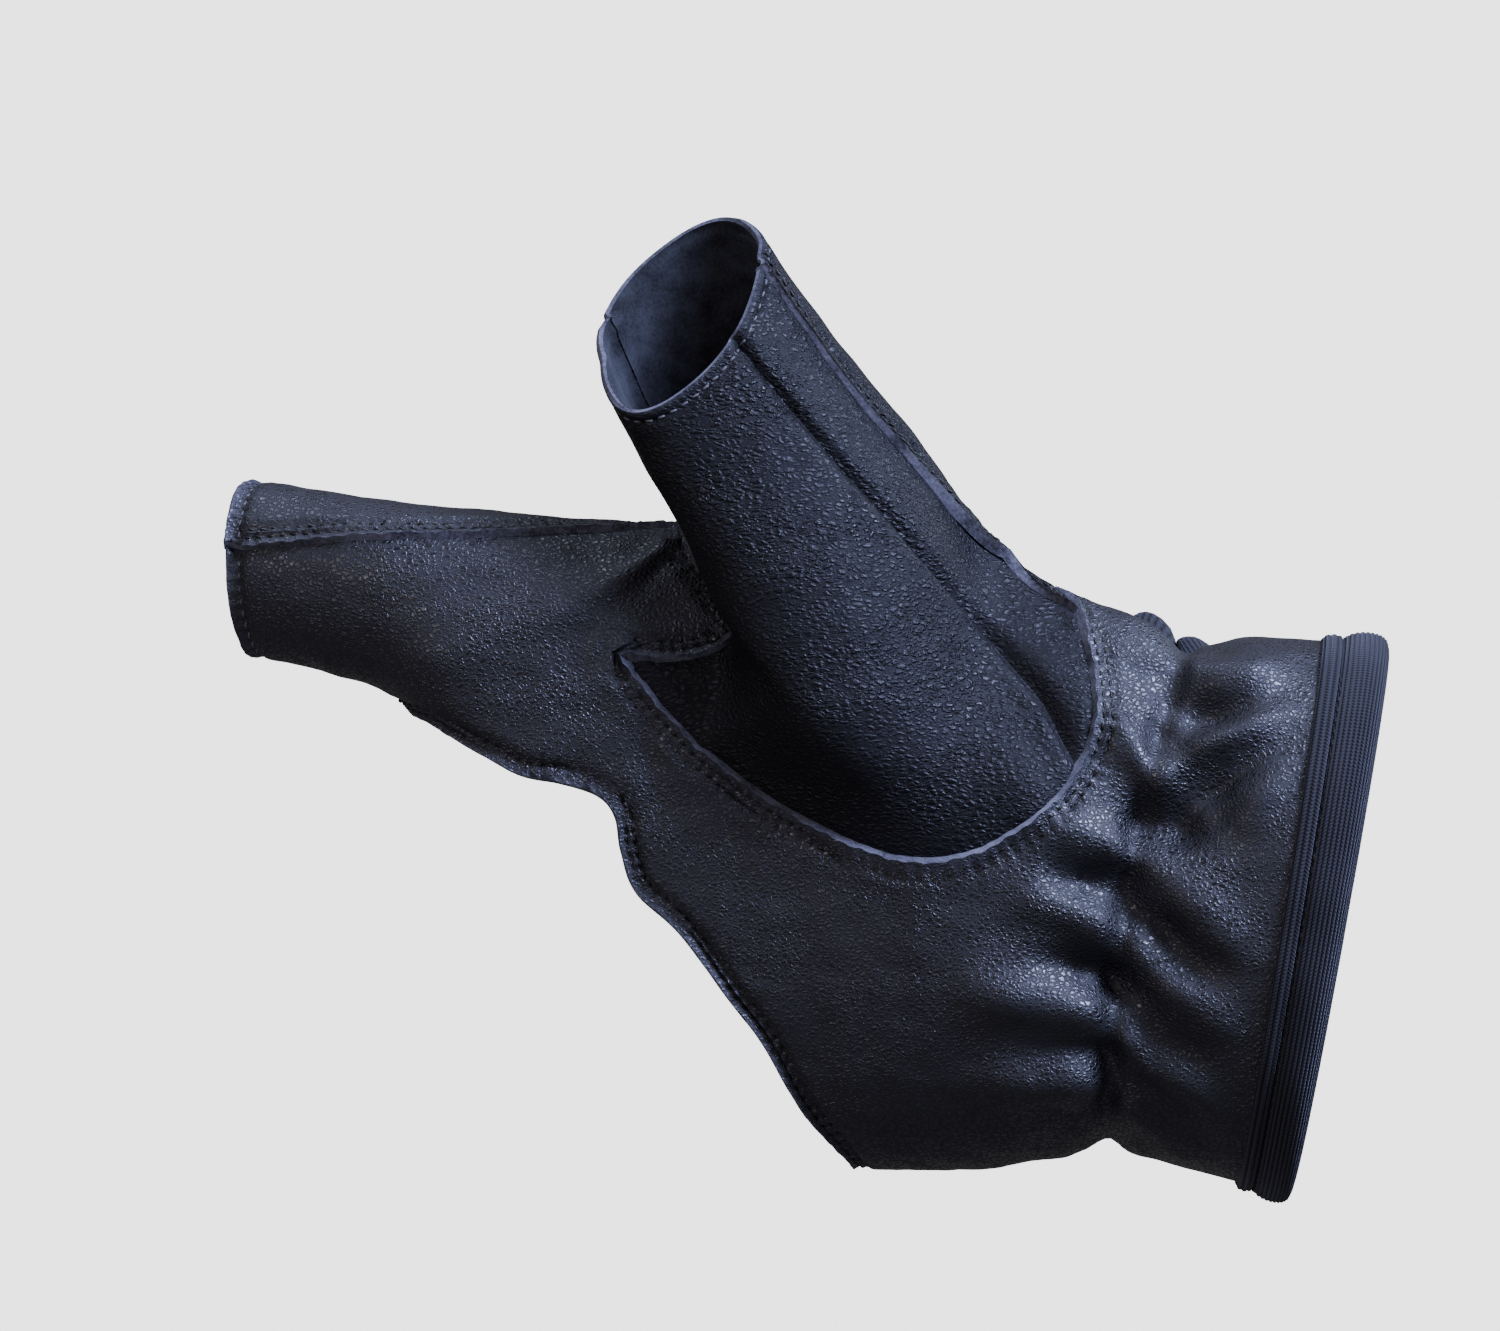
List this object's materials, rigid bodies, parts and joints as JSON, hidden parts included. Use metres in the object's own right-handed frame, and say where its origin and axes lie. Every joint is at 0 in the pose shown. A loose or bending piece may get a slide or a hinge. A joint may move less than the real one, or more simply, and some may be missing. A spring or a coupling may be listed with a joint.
{
  "type": "archery glove",
  "caption": "Right-hand leather archery glove, thumb and index finger covered with open tips, other fingers bare, gathered wrist and knit-bound cuff.",
  "frame": {"origin": "centre of the gathered wrist, where the glove grips the wearer", "axes": "+X up the forearm through the cuff, +Z towards the thumb side, -Y out of the palm"},
  "size_m": [0.1859, 0.0686, 0.1572],
  "materials": {
    "leather": "black sheep leather, fine pebbled grain, soft gloss",
    "thumb_leather": "black sheep leather, coarser pebbled grain",
    "knit": "navy-black ribbed knit tape and stretch knit"
  },
  "bodies": {
    "root": {"palm_panel": "leather", "back_panel": "leather", "thumb_front_panel": "thumb_leather", "thumb_side_strip": "thumb_leather", "thumb_back_panel": "thumb_leather", "wrist_gusset": "knit", "cuff_binding": "knit"}
  },
  "joints": []
}
